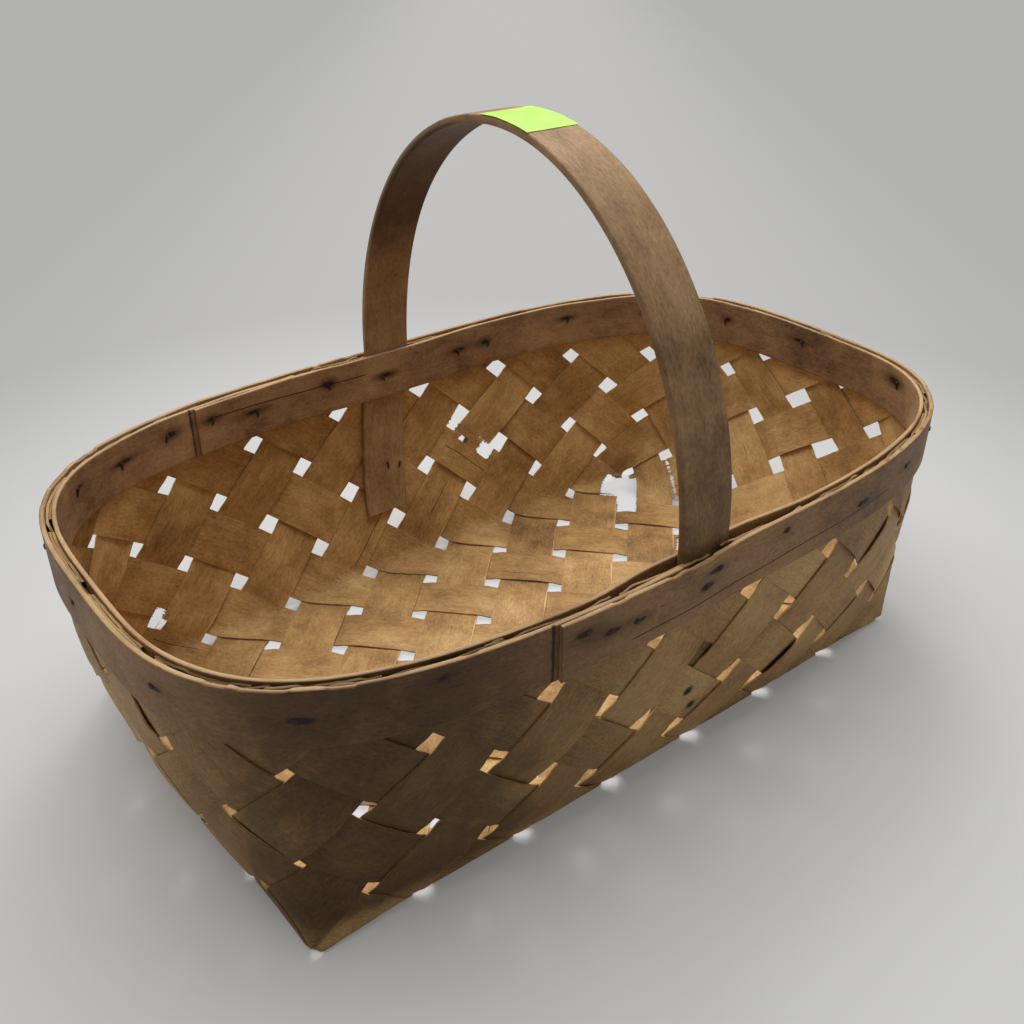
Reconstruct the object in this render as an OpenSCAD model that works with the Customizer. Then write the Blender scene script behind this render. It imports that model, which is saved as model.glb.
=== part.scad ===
// Market basket plaited on the diagonal from flat wood splints.
// Each splint runs from the rim down a wall, across the base at 45 degrees and up another wall,
// over one and under one. Two bentwood hoops clamp the splint ends at the rim, a bentwood handle
// stands between the inner hoop and the weave, and small nails hold it all together.
// Origin: middle of the rim, on the surface that the basket stands on. +X along the basket, +Z up.

/* [Base] */
// Length of the base between its pointed corners
base_length = 381; // [350:1:420]
// Width of the base between its pointed corners
base_width = 225; // [200:1:240]
// How far the base sits off the middle of the rim, along the basket
base_shift = -8.5; // [-12:0.5:12]

/* [Splints] */
// Width of a splint
splint_width = 30; // [27:0.5:33]
// Thickness of a splint
splint_thickness = 0.7; // [0.5:0.1:1]
// Air between two splints where they cross
splint_air = 0.2; // [0.1:0.05:0.3]

/* [Wall] */
// Rows of weave from the base edge to the rim, at the middle of a long side
side_rows = 2.62; // [2.5:0.02:2.8]
// Rows that the short ends have beyond that
extra_end_rows = 0.45; // [0:0.05:0.6]
// How much the wall bellies out between base and rim, 0 for a straight slope
wall_belly = 1.1; // [0:0.05:1.2]

/* [Rim] */
// Length of the rim over the outer hoop
rim_length = 462; // [430:1:480]
// Width of the rim over the outer hoop
rim_width = 280; // [260:1:300]
// Height of the rim above the floor
rim_height = 138; // [120:1:160]
// Squareness of the rim seen from above, 2 for an ellipse
rim_squareness = 3.3; // [2.6:0.1:4]
// Height of both hoops
hoop_height = 28; // [22:1:36]
// Thickness of the outer hoop
outer_hoop_thickness = 2.3; // [1.8:0.1:4]
// Thickness of the inner hoop
inner_hoop_thickness = 2.1; // [1.8:0.1:4]
// Room between the hoops for the woven ends
weave_room = 3; // [2.8:0.1:4]
// How far the middle of the woven ends sits off the middle of the rim, along the basket
weave_shift = -6.5; // [-12:0.5:12]
// Air between the outer hoop and the weave
weave_air = 0.35; // [0.2:0.05:0.6]
// How far the splint ends are trimmed below the top of the hoops
splint_trim = 1.5; // [0.5:0.5:4]
// Length over which each hoop laps over itself
hoop_lap = 66; // [50:1:80]
// Air between the two layers of a lap
lap_air = 0.2; // [0.1:0.05:0.4]

/* [Handle] */
// Width of the handle
handle_width = 29.5; // [26:0.5:34]
// Thickness of the handle
handle_thickness = 4; // [3:0.1:5]
// Height of the top of the handle above the floor
handle_top = 293; // [250:1:330]
// Height of the handle's lower ends above the floor
handle_foot = 36; // [30:1:60]
// Place of the handle along the basket
handle_place = -5.5; // [-10:0.5:10]
// How much further along the basket the far leg stands than the near leg
handle_skew = 9; // [-12:0.5:12]
// How far the far leg's foot leans back along the basket, in degrees
far_leg_lean = 7; // [-8:0.5:8]
// Air between the handle and what it lies against
handle_air = 0.3; // [0.1:0.05:0.4]

/* [Nails] */
// Diameter of a nail's shank
nail_shank = 1.8; // [1.4:0.1:2.2]
// Diameter of a nail's head
nail_head = 4.4; // [3.6:0.1:5.2]
// Thickness of a nail's head
nail_head_thickness = 0.8; // [0.5:0.1:1.2]
// Length of the point that is bent over on the inner side
nail_clench = 5; // [3:0.5:7]
// Air round a shank in its hole
nail_air = 0.08; // [0.02:0.01:0.12]

/* [Sticker] */
// Length of the blank price sticker along the handle
sticker_length = 34; // [20:1:50]
// Width of the sticker
sticker_width = 28; // [18:0.5:30]
// Thickness of the sticker
sticker_thickness = 0.2; // [0.15:0.05:0.4]
// How far the sticker sits from the top of the handle, along it
sticker_place = 7; // [0:1:20]

/* [Hidden] */
// The base has this many cells of the weave each way, measured along their diagonals.
CELLS_LONG = 7;
CELLS_WIDE = 4;
AROUND = 2 * (CELLS_LONG + CELLS_WIDE);
SPLINTS = CELLS_LONG + CELLS_WIDE;
function splint_name(set, k) = str("splint_", set, k < 10 ? "0" : "", k);

WOOD_INSIDE = "#a8763d";
WOOD_RIM = "#7d5c3c";
WOOD_HANDLE = "#8a6a48";
IRON = "#3c3632";
STICKER = "#adff2f";

// Half the thickness of the weave: two splints and the air between them.
weave_half = splint_thickness + splint_air / 2;
// Depths below the outer face of the rim.
weave_depth = outer_hoop_thickness + weave_air + weave_half;
inner_hoop_depth = outer_hoop_thickness + weave_room;
handle_depth = weave_depth + weave_half + handle_air;

// Places round the rim, counted in cells clockwise from the far left corner of the base.
OUTER_LAP_END = 16.02;
INNER_LAP_END = 1.38;
// Cells that a hoop takes to ease down to the layer below.
EASE_CELLS = 0.8;
// Rim nails: place round the rim, and depth below its top as a share of the hoops' height.
RIM_NAILS = [
    [0.5, 0.43], [1.06, 0.34], [1.56, 0.31], [2.04, 0.46], [2.85, 0.37], [3.48, 0.51], [4.44, 0.46],
    [4.86, 0.46], [5.92, 0.34], [6.92, 0.43], [7.9, 0.40], [8.94, 0.34], [10.3, 0.29], [11.2, 0.43],
    [12, 0.46], [12.76, 0.57], [13.74, 0.26], [14.5, 0.29], [14.64, 0.51], [15.36, 0.49], [15.6, 0.46],
    [15.8, 0.29], [16.87, 0.23], [17.86, 0.51], [18.92, 0.46], [20.2, 0.51], [21, 0.40], [21.86, 0.31]
];
// Handle nails: place round the rim, and height as a share of the leg from its foot to the hoops.
HANDLE_NAILS = [[3.47, 0.39], [3.62, 0.36], [14.52, 0.28], [14.4, 0.09]];

// --- The rim's outline: a superellipse, walked at an even pace round each quarter ---
function rim_radius(angle) =
    pow(
        pow(abs(cos(angle)) / (rim_length / 2), rim_squareness)
            + pow(abs(sin(angle)) / (rim_width / 2), rim_squareness),
        -1 / rim_squareness
    );
function rim_outline(angle) = rim_radius(angle) * [cos(angle), sin(angle)];
function rim_normal(angle) =
    let (
        p = rim_outline(angle),
        slope_x = sign(p.x) * pow(abs(p.x) / (rim_length / 2), rim_squareness - 1) / rim_length,
        slope_y = sign(p.y) * pow(abs(p.y) / (rim_width / 2), rim_squareness - 1) / rim_width
    ) [slope_x, slope_y] / norm([slope_x, slope_y]);
function rim_at(angle, depth) = rim_outline(angle) - depth * rim_normal(angle);

QUARTER = [for (angle = [0:1:90]) rim_outline(angle)];
quarter_steps = [for (k = [1:90]) norm(QUARTER[k] - QUARTER[k - 1])];
quarter_length = quarter_steps * [for (k = [1:90]) 1];
cell_round = 4 * quarter_length / AROUND;
lap_cells = hoop_lap / cell_round;
quarter_walk = [
    for (k = 0, walked = 0; k <= 90; walked = walked + (k < 90 ? quarter_steps[k] : 0), k = k + 1)
        [walked / quarter_length, k]
];
function quarter_angle(share) = lookup(share, quarter_walk);
// Angle of a place round the rim: the right end's middle is at 0, the far side's middle at 90.
// The cells are as wide as each other on each half of the rim, left and right of the weave's middle.
function rim_angle(place) =
    let (
        quarters = (CELLS_LONG + CELLS_WIDE / 2 - place) / (SPLINTS / 2),
        rounds = floor((quarters + 2) / 4),
        rest = quarters - 4 * rounds,
        off = abs(rest),
        shift = weave_shift / quarter_length,
        walked = off < 1 ? off * (1 - shift) : 1 - shift + (off - 1) * (1 + shift),
        angle = walked < 1 ? quarter_angle(walked) : 180 - quarter_angle(2 - walked)
    ) 360 * rounds + sign(rest) * angle;

// --- The sheet that the splints weave about, laid out flat from the base ---
// A point of the base is [along, across], in cells from its far left corner. Beyond the base's
// edges the same numbers run on up the walls.
function beyond(q) = max(-q.y, q.y - CELLS_WIDE, -q.x, q.x - CELLS_LONG);
function place_round(q) =
    let (rise = beyond(q))
        rise == -q.y ? q.x
        : rise == q.y - CELLS_WIDE ? AROUND - CELLS_WIDE - q.x
        : rise == -q.x ? AROUND - q.y
        : CELLS_LONG + q.y;
function base_at(q) =
    [
        base_shift - base_length / 2 + q.x * base_length / CELLS_LONG,
        base_width / 2 - q.y * base_width / CELLS_WIDE
    ];
function base_edge(place) =
    let (p = place - AROUND * floor(place / AROUND))
        p < CELLS_LONG ? base_at([p, 0])
        : p < SPLINTS ? base_at([CELLS_LONG, p - CELLS_LONG])
        : p < SPLINTS + CELLS_LONG ? base_at([SPLINTS + CELLS_LONG - p, CELLS_WIDE])
        : base_at([0, AROUND - p]);
function wall_at(place, rise) =
    let (
        rim = rim_at(rim_angle(place), weave_depth),
        foot = base_edge(place),
        rows = side_rows + extra_end_rows * pow(2 * rim.x / rim_length, 2),
        climb = rise / rows,
        height = weave_half + (rim_height - weave_half) * climb,
        share = min(1, (height - weave_half) / (rim_height - hoop_height - weave_half)),
        lean = share * (1 + wall_belly * (1 - share)),
        plan = foot + (rim - foot) * lean
    ) [plan.x, plan.y, height];
function sheet(q) =
    let (rise = beyond(q)) rise > 0
        ? wall_at(place_round(q), rise)
        : let (p = base_at(q)) [p.x, p.y, weave_half];

// The two sets of splints follow u = along + across and v = along - across.
function sheet_uv(u, v) = sheet([(u + v) / 2, (u - v) / 2]);
NUDGE = 0.03;
function unit(v) = v / norm(v);
function sheet_normal(u, v) =
    unit(cross(
        sheet_uv(u + NUDGE, v) - sheet_uv(u - NUDGE, v),
        sheet_uv(u, v + NUDGE) - sheet_uv(u, v - NUDGE)
    ));
// Half a splint's width in cells at the crossing [m, n], for each of the two directions.
REACH = 0.35;
function half_splints(m, n) =
    let (
        u = m + 0.5,
        v = n + 0.5,
        middle = sheet_uv(u, v),
        pace_u = norm(sheet_uv(u + REACH, v) - middle) + norm(middle - sheet_uv(u - REACH, v)),
        pace_v = norm(sheet_uv(u, v + REACH) - middle) + norm(middle - sheet_uv(u, v - REACH))
    ) splint_width * REACH * [1 / pace_u, 1 / pace_v];
// A crossing is creased along a level line, or along an upright corner of the wall.
function level_crease(m, n) =
    let (
        along = (m + n + 1) / 2,
        across = (m - n) / 2,
        out_side = max(-across, across - CELLS_WIDE),
        out_end = max(-along, along - CELLS_LONG),
        on_side = out_side >= 0 && out_side >= out_end,
        on_corner = on_side
            ? out_side > 0 && (along == 0 || along == CELLS_LONG)
            : out_end > 0 && (across == 0 || across == CELLS_WIDE)
    ) out_side < 0 && out_end < 0 ? true : on_side != on_corner;

// Cells that a splint runs on past the highest rim before it is trimmed.
PAST_RIM = 0.5;

// --- One splint: stations of six points, three across it on each of its two faces ---
module splint(set, k) {
    is_a = set == "a";
    own = is_a ? k - 1 : k - 1 - CELLS_WIDE;
    middle = own + 0.5;
    first_edge = is_a ? max(-middle, middle - 2 * CELLS_WIDE) : abs(middle);
    last_edge = is_a
        ? min(middle, 2 * CELLS_LONG - middle)
        : min(middle + 2 * CELLS_WIDE, 2 * CELLS_LONG - middle);
    climb = 2 * (side_rows + extra_end_rows) + PAST_RIM;
    first = floor(first_edge - climb);
    last = floor(last_edge + climb);
    stations = [
        for (other = [first:last])
            let (
                m = is_a ? own : other,
                n = is_a ? other : own,
                half = half_splints(m, n),
                inside = ((m + n) % 2 != 0) == is_a,
                face = (splint_air / 2) * (inside ? 1 : -1),
                faces = inside
                    ? [face + splint_thickness, face]
                    : [face, face - splint_thickness]
            )
            for (step = [-1:1])
                for (offset = faces)
                    for (side = [-1:1])
                        let (
                            u = m + 0.5 + half[0] * (is_a ? side : step),
                            v = n + 0.5 + half[1] * (is_a ? step : side)
                        ) sheet_uv(u, v) + offset * sheet_normal(u, v)
    ];
    count = 3 * (last - first + 1);
    function corner(station, face, side) = 6 * station + 3 * face + side;
    function turned(face) = (face == 0) == is_a;
    function tri(a, b, c, flip) = flip ? [a, c, b] : [a, b, c];
    skins = [
        for (s = [0:count - 2])
            let (
                cell = first + floor(s / 3),
                level = s % 3 == 2 || (is_a ? level_crease(own, cell) : level_crease(cell, own))
            )
            for (face = [0, 1])
                for (side = [0, 1])
                    let (
                        a = corner(s, face, side),
                        b = corner(s, face, side + 1),
                        c = corner(s + 1, face, side + 1),
                        d = corner(s + 1, face, side)
                    )
                    each level
                        ? [tri(a, b, c, turned(face)), tri(a, c, d, turned(face))]
                        : [tri(a, b, d, turned(face)), tri(b, c, d, turned(face))]
    ];
    edges = [
        for (s = [0:count - 2])
            for (side = [0, 2])
                let (
                    a = corner(s, 0, side),
                    b = corner(s, 1, side),
                    c = corner(s + 1, 1, side),
                    d = corner(s + 1, 0, side),
                    flip = (side == 0) == is_a
                )
                each [tri(a, b, c, !flip), tri(a, c, d, !flip)]
    ];
    ends = [
        for (s = [0, count - 1])
            for (side = [0, 1])
                let (
                    a = corner(s, 0, side),
                    b = corner(s, 0, side + 1),
                    c = corner(s, 1, side + 1),
                    d = corner(s, 1, side),
                    flip = (s == 0) != is_a
                )
                each [tri(a, b, c, flip), tri(a, c, d, flip)]
    ];
    color(WOOD_INSIDE)
        difference() {
            intersection() {
                polyhedron(points = stations, faces = concat(skins, edges, ends));
                below_trim();
            }
            rim_nail_holes(8);
            handle_nail_holes(8);
        }
}
// Everything lower than the line at which the splint ends are trimmed.
module below_trim() {
    translate([-rim_length, -rim_width, -splint_thickness])
        cube([2 * rim_length, 2 * rim_width, rim_height - splint_trim + splint_thickness]);
}

// --- The hoops: each is one strip bent round the rim and lapped over its own start ---
function smooth(x) = let (t = min(1, max(0, x))) t * t * (3 - 2 * t);
// How far a strip's visible end, and what eases down from it, stands off the layer below.
function lap_lift(from_end, thickness) =
    (thickness + lap_air) * (1 - smooth((from_end - lap_cells) / EASE_CELLS));
function outer_lift(from_end) = lap_lift(from_end, outer_hoop_thickness);
// The inner hoop also stands clear of both legs of the handle.
leg_offset = (handle_place - weave_shift) / cell_round;
leg_skew = handle_skew / 2 / cell_round;
far_leg_place = CELLS_LONG / 2 + leg_offset + leg_skew;
near_leg_place = SPLINTS + CELLS_LONG / 2 - leg_offset + leg_skew;
leg_room = handle_depth + handle_thickness + handle_air - inner_hoop_depth;
EDGE_CELLS = 0.12;
leg_cells = handle_width / 2 / cell_round + EDGE_CELLS;
function leg_lift(place) =
    let (
        wrapped = place - AROUND * floor(place / AROUND),
        from_leg = min(abs(wrapped - far_leg_place), abs(wrapped - near_leg_place))
    ) leg_room * (1 - smooth((from_leg - leg_cells) / EASE_CELLS));
// Its hidden end lies flat under its visible end.
function inner_lift(from_end) =
    from_end > AROUND
        ? 0
        : max(lap_lift(from_end, inner_hoop_thickness), leg_lift(INNER_LAP_END + from_end));

HOOP_STEP = 0.125;
strip_cells = AROUND + lap_cells;
HOOP_WALK = concat([for (w = [0:HOOP_STEP:strip_cells]) w], [strip_cells]);
module outer_hoop() {
    outer_face = [
        for (w = HOOP_WALK) rim_at(rim_angle(OUTER_LAP_END - w), -outer_lift(w))
    ];
    inner_face = [
        for (w = HOOP_WALK)
            rim_at(rim_angle(OUTER_LAP_END - w), outer_hoop_thickness - outer_lift(w))
    ];
    color(WOOD_RIM)
        difference() {
            hoop_strip(outer_face, inner_face);
            rim_nail_holes(32);
        }
}
module inner_hoop() {
    outer_face = [
        for (w = HOOP_WALK) rim_at(rim_angle(INNER_LAP_END + w), inner_hoop_depth + inner_lift(w))
    ];
    inner_face = [
        for (w = HOOP_WALK)
            rim_at(
                rim_angle(INNER_LAP_END + w),
                inner_hoop_depth + inner_hoop_thickness + inner_lift(w)
            )
    ];
    color(WOOD_RIM)
        difference() {
            hoop_strip(outer_face, inner_face);
            rim_nail_holes(32);
        }
}
module hoop_strip(outer_face, inner_face) {
    count = len(inner_face);
    translate([0, 0, rim_height - hoop_height])
        linear_extrude(hoop_height)
            polygon(concat(outer_face, [for (k = [count - 1:-1:0]) inner_face[k]]));
}

// --- The handle: a bent strip that follows the wall up to the rim and arches over ---
handle_half = rim_width / 2 - handle_depth - handle_thickness / 2;
arch_rise = handle_top - handle_thickness / 2 - rim_height;
// Middle line of one leg, from its foot up: it lies against the inside of the weave.
leg_step = handle_width / 5;
slope_step = leg_step / 6;
function side_of_wall(height) =
    let (rise = (height - weave_half) / (rim_height - weave_half) * side_rows)
        wall_at(CELLS_LONG / 2, rise).y;
leg_line = [
    for (z = [handle_foot:leg_step:rim_height - leg_step / 2])
        let (
            lean = (side_of_wall(z + slope_step) - side_of_wall(z - slope_step)) / (2 * slope_step),
            off = weave_half + handle_air + handle_thickness / 2
        ) [side_of_wall(z) - off * sqrt(1 + lean * lean), z]
];
ARCH_STEP = 3;
arch_line = [
    for (a = [0:ARCH_STEP:180]) [handle_half * cos(a), rim_height + arch_rise * sin(a)]
];
handle_line = concat(
    leg_line,
    arch_line,
    [for (k = [len(leg_line) - 1:-1:0]) [-leg_line[k].x, leg_line[k].y]]
);
function line_normal(line, k) =
    let (
        before = line[max(k - 1, 0)],
        after = line[min(k + 1, len(line) - 1)],
        way = unit(after - before)
    ) [way.y, -way.x];
// Where the handle's middle stands along the basket, for a point of its middle line.
function handle_along(point) =
    handle_place + handle_skew * point.x / (2 * handle_half)
        - (point.x > 0 ? tan(far_leg_lean) * max(0, rim_height - point.y) : 0);
// A flat strip bent along a line of the plane across the basket, as rings of four corners.
module bent_strip(line, inward, outward, width) {
    last = len(line) - 1;
    corners = [
        for (k = [0:last])
            let (
                along = handle_along(line[k]),
                out = line[k] + outward * line_normal(line, k),
                in = line[k] - inward * line_normal(line, k)
            )
            each [
                [along - width / 2, out.x, out.y],
                [along + width / 2, out.x, out.y],
                [along + width / 2, in.x, in.y],
                [along - width / 2, in.x, in.y]
            ]
    ];
    sides = [
        for (k = [0:last - 1])
            for (side = [0:3])
                let (
                    a = 4 * k + side,
                    b = 4 * k + (side + 1) % 4
                )
                each [[a, a + 4, b], [b, a + 4, b + 4]]
    ];
    ends = [[0, 1, 2, 3], [4 * last + 3, 4 * last + 2, 4 * last + 1, 4 * last]];
    polyhedron(points = corners, faces = concat(ends, sides));
}
module handle() {
    color(WOOD_HANDLE)
        difference() {
            bent_strip(handle_line, handle_thickness / 2, handle_thickness / 2, handle_width);
            rim_nail_holes(32);
            handle_nail_holes(32);
        }
}

// --- Nails: driven from outside and bent over on the inner side ---
shank_r = nail_shank / 2;
hole_r = shank_r + nail_air;
hole_reach = 3 * (outer_hoop_thickness + weave_room + inner_hoop_thickness);
// A nail stands on the weave's sheet: where, which way is in, and how far it goes each way.
module nail(where, inward, out_reach, in_reach) {
    translate(where)
        rotate([0, acos(inward.z), atan2(inward.y, inward.x)]) {
            translate([0, 0, -out_reach - nail_head_thickness])
                cylinder(h = nail_head_thickness, d = nail_head, $fn = 24);
            translate([0, 0, -out_reach - nail_head_thickness / 2])
                cylinder(h = out_reach + in_reach + shank_r * 2, r = shank_r, $fn = 24);
            translate([0, 0, in_reach + shank_r + nail_air])
                rotate([0, 90, 0])
                    cylinder(h = nail_clench, r = shank_r, $fn = 24);
        }
}
module nail_hole(where, inward, sides) {
    translate(where)
        rotate([0, acos(inward.z), atan2(inward.y, inward.x)])
            translate([0, 0, -hole_reach])
                cylinder(h = 2 * hole_reach, r = hole_r / cos(180 / sides), $fn = sides);
}
function rim_nail_at(nail) =
    let (p = rim_at(rim_angle(nail[0]), weave_depth)) [p.x, p.y, rim_height - nail[1] * hoop_height];
function rim_nail_inward(nail) = let (n = rim_normal(rim_angle(nail[0]))) [-n.x, -n.y, 0];
function wrap(place) = place - AROUND * floor(place / AROUND);
// Where a hoop slopes under a nail, the nail stands on its highest point.
head_cells = nail_head / 2 / cell_round;
function outer_stand(nail) =
    let (from_end = wrap(OUTER_LAP_END - nail[0]))
        max([for (w = [-head_cells, 0, head_cells]) outer_lift(max(0, from_end + w))]);
function inner_stand(nail) =
    let (from_end = wrap(nail[0] - INNER_LAP_END))
        max([for (w = [-head_cells, 0, head_cells]) inner_lift(max(0, from_end + w))]);
module rim_nails() {
    color(IRON)
        for (spot = RIM_NAILS)
            nail(
                rim_nail_at(spot),
                rim_nail_inward(spot),
                weave_depth + outer_stand(spot),
                inner_hoop_depth + inner_hoop_thickness - weave_depth + inner_stand(spot)
            );
}
module rim_nail_holes(sides) {
    for (spot = RIM_NAILS)
        nail_hole(rim_nail_at(spot), rim_nail_inward(spot), sides);
}
function handle_nail_rise(nail) =
    let (height = handle_foot + nail[1] * (rim_height - hoop_height - handle_foot))
        (height - weave_half) / (rim_height - weave_half) * side_rows;
function handle_nail_at(nail) = wall_at(nail[0], handle_nail_rise(nail));
function handle_nail_inward(nail) =
    let (
        rise = handle_nail_rise(nail),
        up = wall_at(nail[0], rise + NUDGE) - wall_at(nail[0], rise - NUDGE),
        round = wall_at(nail[0] + NUDGE, rise) - wall_at(nail[0] - NUDGE, rise)
    ) unit(cross(round, up));
module handle_nails() {
    color(IRON)
        for (spot = HANDLE_NAILS)
            nail(
                handle_nail_at(spot),
                handle_nail_inward(spot),
                weave_half,
                weave_half + 2 * handle_air + handle_thickness
            );
}
module handle_nail_holes(sides) {
    for (spot = HANDLE_NAILS)
        nail_hole(handle_nail_at(spot), handle_nail_inward(spot), sides);
}

// --- A blank sticker bent over the top of the handle, towards the near side ---
STICKER_STEPS = 12;
sticker_line = [
    for (k = [0:STICKER_STEPS])
        let (
            along = sticker_place - sticker_length / 2 + k * sticker_length / STICKER_STEPS,
            a = 90 + asin(along / handle_half)
        ) [handle_half * cos(a), rim_height + arch_rise * sin(a)]
];
module price_sticker() {
    color(STICKER)
        bent_strip(
            sticker_line,
            -handle_thickness / 2 - lap_air,
            handle_thickness / 2 + lap_air + sticker_thickness,
            sticker_width
        );
}

for (set = ["a", "b"])
    for (k = [1:SPLINTS])
        splint(set, k);
outer_hoop();
inner_hoop();
handle();
rim_nails();
handle_nails();
price_sticker();
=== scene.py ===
"""An old market basket plaited from wood splints, with a nailed double rim and a fixed handle.

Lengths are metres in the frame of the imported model: x along the basket, y across it, z up.
"""

import bpy
import numpy as np
from mathutils import Matrix


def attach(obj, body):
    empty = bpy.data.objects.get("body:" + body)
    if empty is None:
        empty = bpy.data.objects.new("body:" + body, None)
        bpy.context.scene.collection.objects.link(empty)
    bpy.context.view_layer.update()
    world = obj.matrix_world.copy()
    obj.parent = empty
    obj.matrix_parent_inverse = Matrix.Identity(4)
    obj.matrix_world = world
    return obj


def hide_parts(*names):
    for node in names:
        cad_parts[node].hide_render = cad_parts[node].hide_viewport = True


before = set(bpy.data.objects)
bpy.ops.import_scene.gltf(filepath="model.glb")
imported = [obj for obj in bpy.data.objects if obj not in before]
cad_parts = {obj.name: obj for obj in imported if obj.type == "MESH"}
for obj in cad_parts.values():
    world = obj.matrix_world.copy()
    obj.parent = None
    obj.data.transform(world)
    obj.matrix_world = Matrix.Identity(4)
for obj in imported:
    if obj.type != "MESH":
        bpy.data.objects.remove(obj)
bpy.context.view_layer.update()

# === Camera =======================================================================
# Stands at the near left, a little above the handle, and looks down into the basket. Its turn
# from +y and its dip below level are in radians, its lens and film in millimetres.
CAMERA_AT = np.array([-0.3106, -0.3887, 0.3876])
CAMERA_TURN, CAMERA_DIP = -0.6594, 0.5425
CAMERA_LENS, CAMERA_FILM, NEAREST_SEEN = 38.03, 36, 0.02


def looking(sidewise, ahead, at):
    """The matrix of a camera or lamp at a point: x goes sidewise, y up and z backwards."""
    matrix = np.eye(4)
    matrix[:3] = np.stack([sidewise, np.cross(sidewise, ahead), -ahead, at], -1)
    return Matrix(matrix.tolist())


ahead = np.array([
    -np.sin(CAMERA_TURN) * np.cos(CAMERA_DIP),
    np.cos(CAMERA_TURN) * np.cos(CAMERA_DIP),
    -np.sin(CAMERA_DIP),
])
sidewise = np.cross(ahead, [0, 0, 1])
sidewise /= np.linalg.norm(sidewise)
camera = bpy.data.objects.new("camera", bpy.data.cameras.new("camera"))
bpy.context.scene.collection.objects.link(camera)
camera.data.sensor_width = CAMERA_FILM
camera.data.lens = CAMERA_LENS
camera.data.clip_start = NEAREST_SEEN
camera.matrix_world = looking(sidewise, ahead, CAMERA_AT)
bpy.context.scene.camera = camera

# === Splints ======================================================================
# Twenty-two flat strips of wood, sliced thin and 30 mm wide, plaited over one and under
# one at 45 degrees to the base. Each goes up a wall at both ends, where the hoops clamp it.

# Along the base, up the walls and round the rim, places are counted in cells, the diagonals
# of the weave's squares, and along and across a splint in steps, the sides of those squares.
# The base lies a little to the left of the rim's middle. It is domed by this height, over this
# many cells from its edge.
BASE_LENGTH, BASE_WIDTH, BASE_SHIFT = 0.381, 0.225, -0.0085
BASE_DOME, DOME_REACH = 0.0018, 1.1
# The air is between two splints that cross, and the trim is how far below the rim they end.
SPLINT_WIDTH, SPLINT_THICKNESS, SPLINT_AIR, SPLINT_TRIM = 0.030, 0.0007, 0.0002, 0.0015
# The weave's cells along the base, across it and round the rim, its rows up a side wall, how
# many more there are at the ends of the basket, and how much the walls belly out.
CELLS_LONG, CELLS_WIDE, AROUND = 7, 4, 22
SIDE_ROWS, EXTRA_END_ROWS, WALL_BELLY = 2.62, 0.45, 1.1
# The rim is a superellipse over the outer hoop. The room is between the hoops, the air is
# between the outer one and the weave, and the shift moves the weave along the rim.
RIM_LENGTH, RIM_WIDTH, RIM_HEIGHT, RIM_SQUARENESS = 0.462, 0.280, 0.138, 3.3
HOOP_HEIGHT, OUTER_THICKNESS, INNER_THICKNESS = 0.028, 0.0023, 0.0021
WEAVE_ROOM, WEAVE_AIR, WEAVE_SHIFT = 0.003, 0.00035, -0.0065
WEAVE_HALF = SPLINT_THICKNESS + SPLINT_AIR / 2
WEAVE_DEPTH = OUTER_THICKNESS + WEAVE_AIR + WEAVE_HALF
# The handle's far leg stands further right than its near one by the skew, and leans.
HANDLE_PLACE, HANDLE_SKEW, FAR_LEG_LEAN = -0.0055, 0.009, np.radians(7)
HANDLE_WIDTH, HANDLE_THICKNESS, HANDLE_AIR = 0.0295, 0.004, 0.0003
HANDLE_FOOT, HANDLE_TOP = 0.036, 0.293
HANDLE_DEPTH = WEAVE_DEPTH + WEAVE_HALF + HANDLE_AIR
HANDLE_HALF = RIM_WIDTH / 2 - HANDLE_DEPTH - HANDLE_THICKNESS / 2
# Handle nails: place round the rim, and height as a share of the leg from its foot to the hoops.
HANDLE_NAILS = np.array([[3.47, 0.39], [3.62, 0.36], [14.52, 0.28], [14.4, 0.09]])


def smooth(x):
    """0 below 0, 1 above 1, and 3 x^2 - 2 x^3 between."""
    x = np.clip(x, 0, 1)
    return x * x * (3 - 2 * x)


def sway(x, seed, octaves=3):
    """Slow waves between about -1 and 1: a sum of sines whose pitch and phase come from seed."""
    total = 0 * x
    for k in range(octaves):
        pitch = 1.7 ** k * (1 + 0.31 * np.sin(12.9 * seed + k))
        total = total + np.sin(pitch * x + 78.2 * seed + 2.1 * k) / (1 + 0.6 * k)
    return total / 1.6


def rim_outline(angle):
    """The superellipse |x / a|^n + |y / b|^n = 1 at a polar angle in radians."""
    c, s = np.cos(angle), np.sin(angle)
    n = RIM_SQUARENESS
    radius = (np.abs(2 * c / RIM_LENGTH) ** n + np.abs(2 * s / RIM_WIDTH) ** n) ** (-1 / n)
    return np.stack([radius * c, radius * s], -1)


def rim_normal(angle):
    """The outward normal of the superellipse: its gradient, made one long."""
    p, n = rim_outline(angle), RIM_SQUARENESS - 1
    half = np.array([RIM_LENGTH, RIM_WIDTH]) / 2
    slope = np.sign(p) * np.abs(p / half) ** n / half
    return slope / np.linalg.norm(slope, axis=-1, keepdims=True)


quarter = np.radians(np.arange(91))
steps = np.linalg.norm(np.diff(rim_outline(quarter), axis=0), axis=1)
QUARTER_ROUND = steps.sum()
quarter_walk = np.concatenate([[0], np.cumsum(steps)]) / QUARTER_ROUND
CELL_ROUND = 4 * QUARTER_ROUND / AROUND


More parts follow.
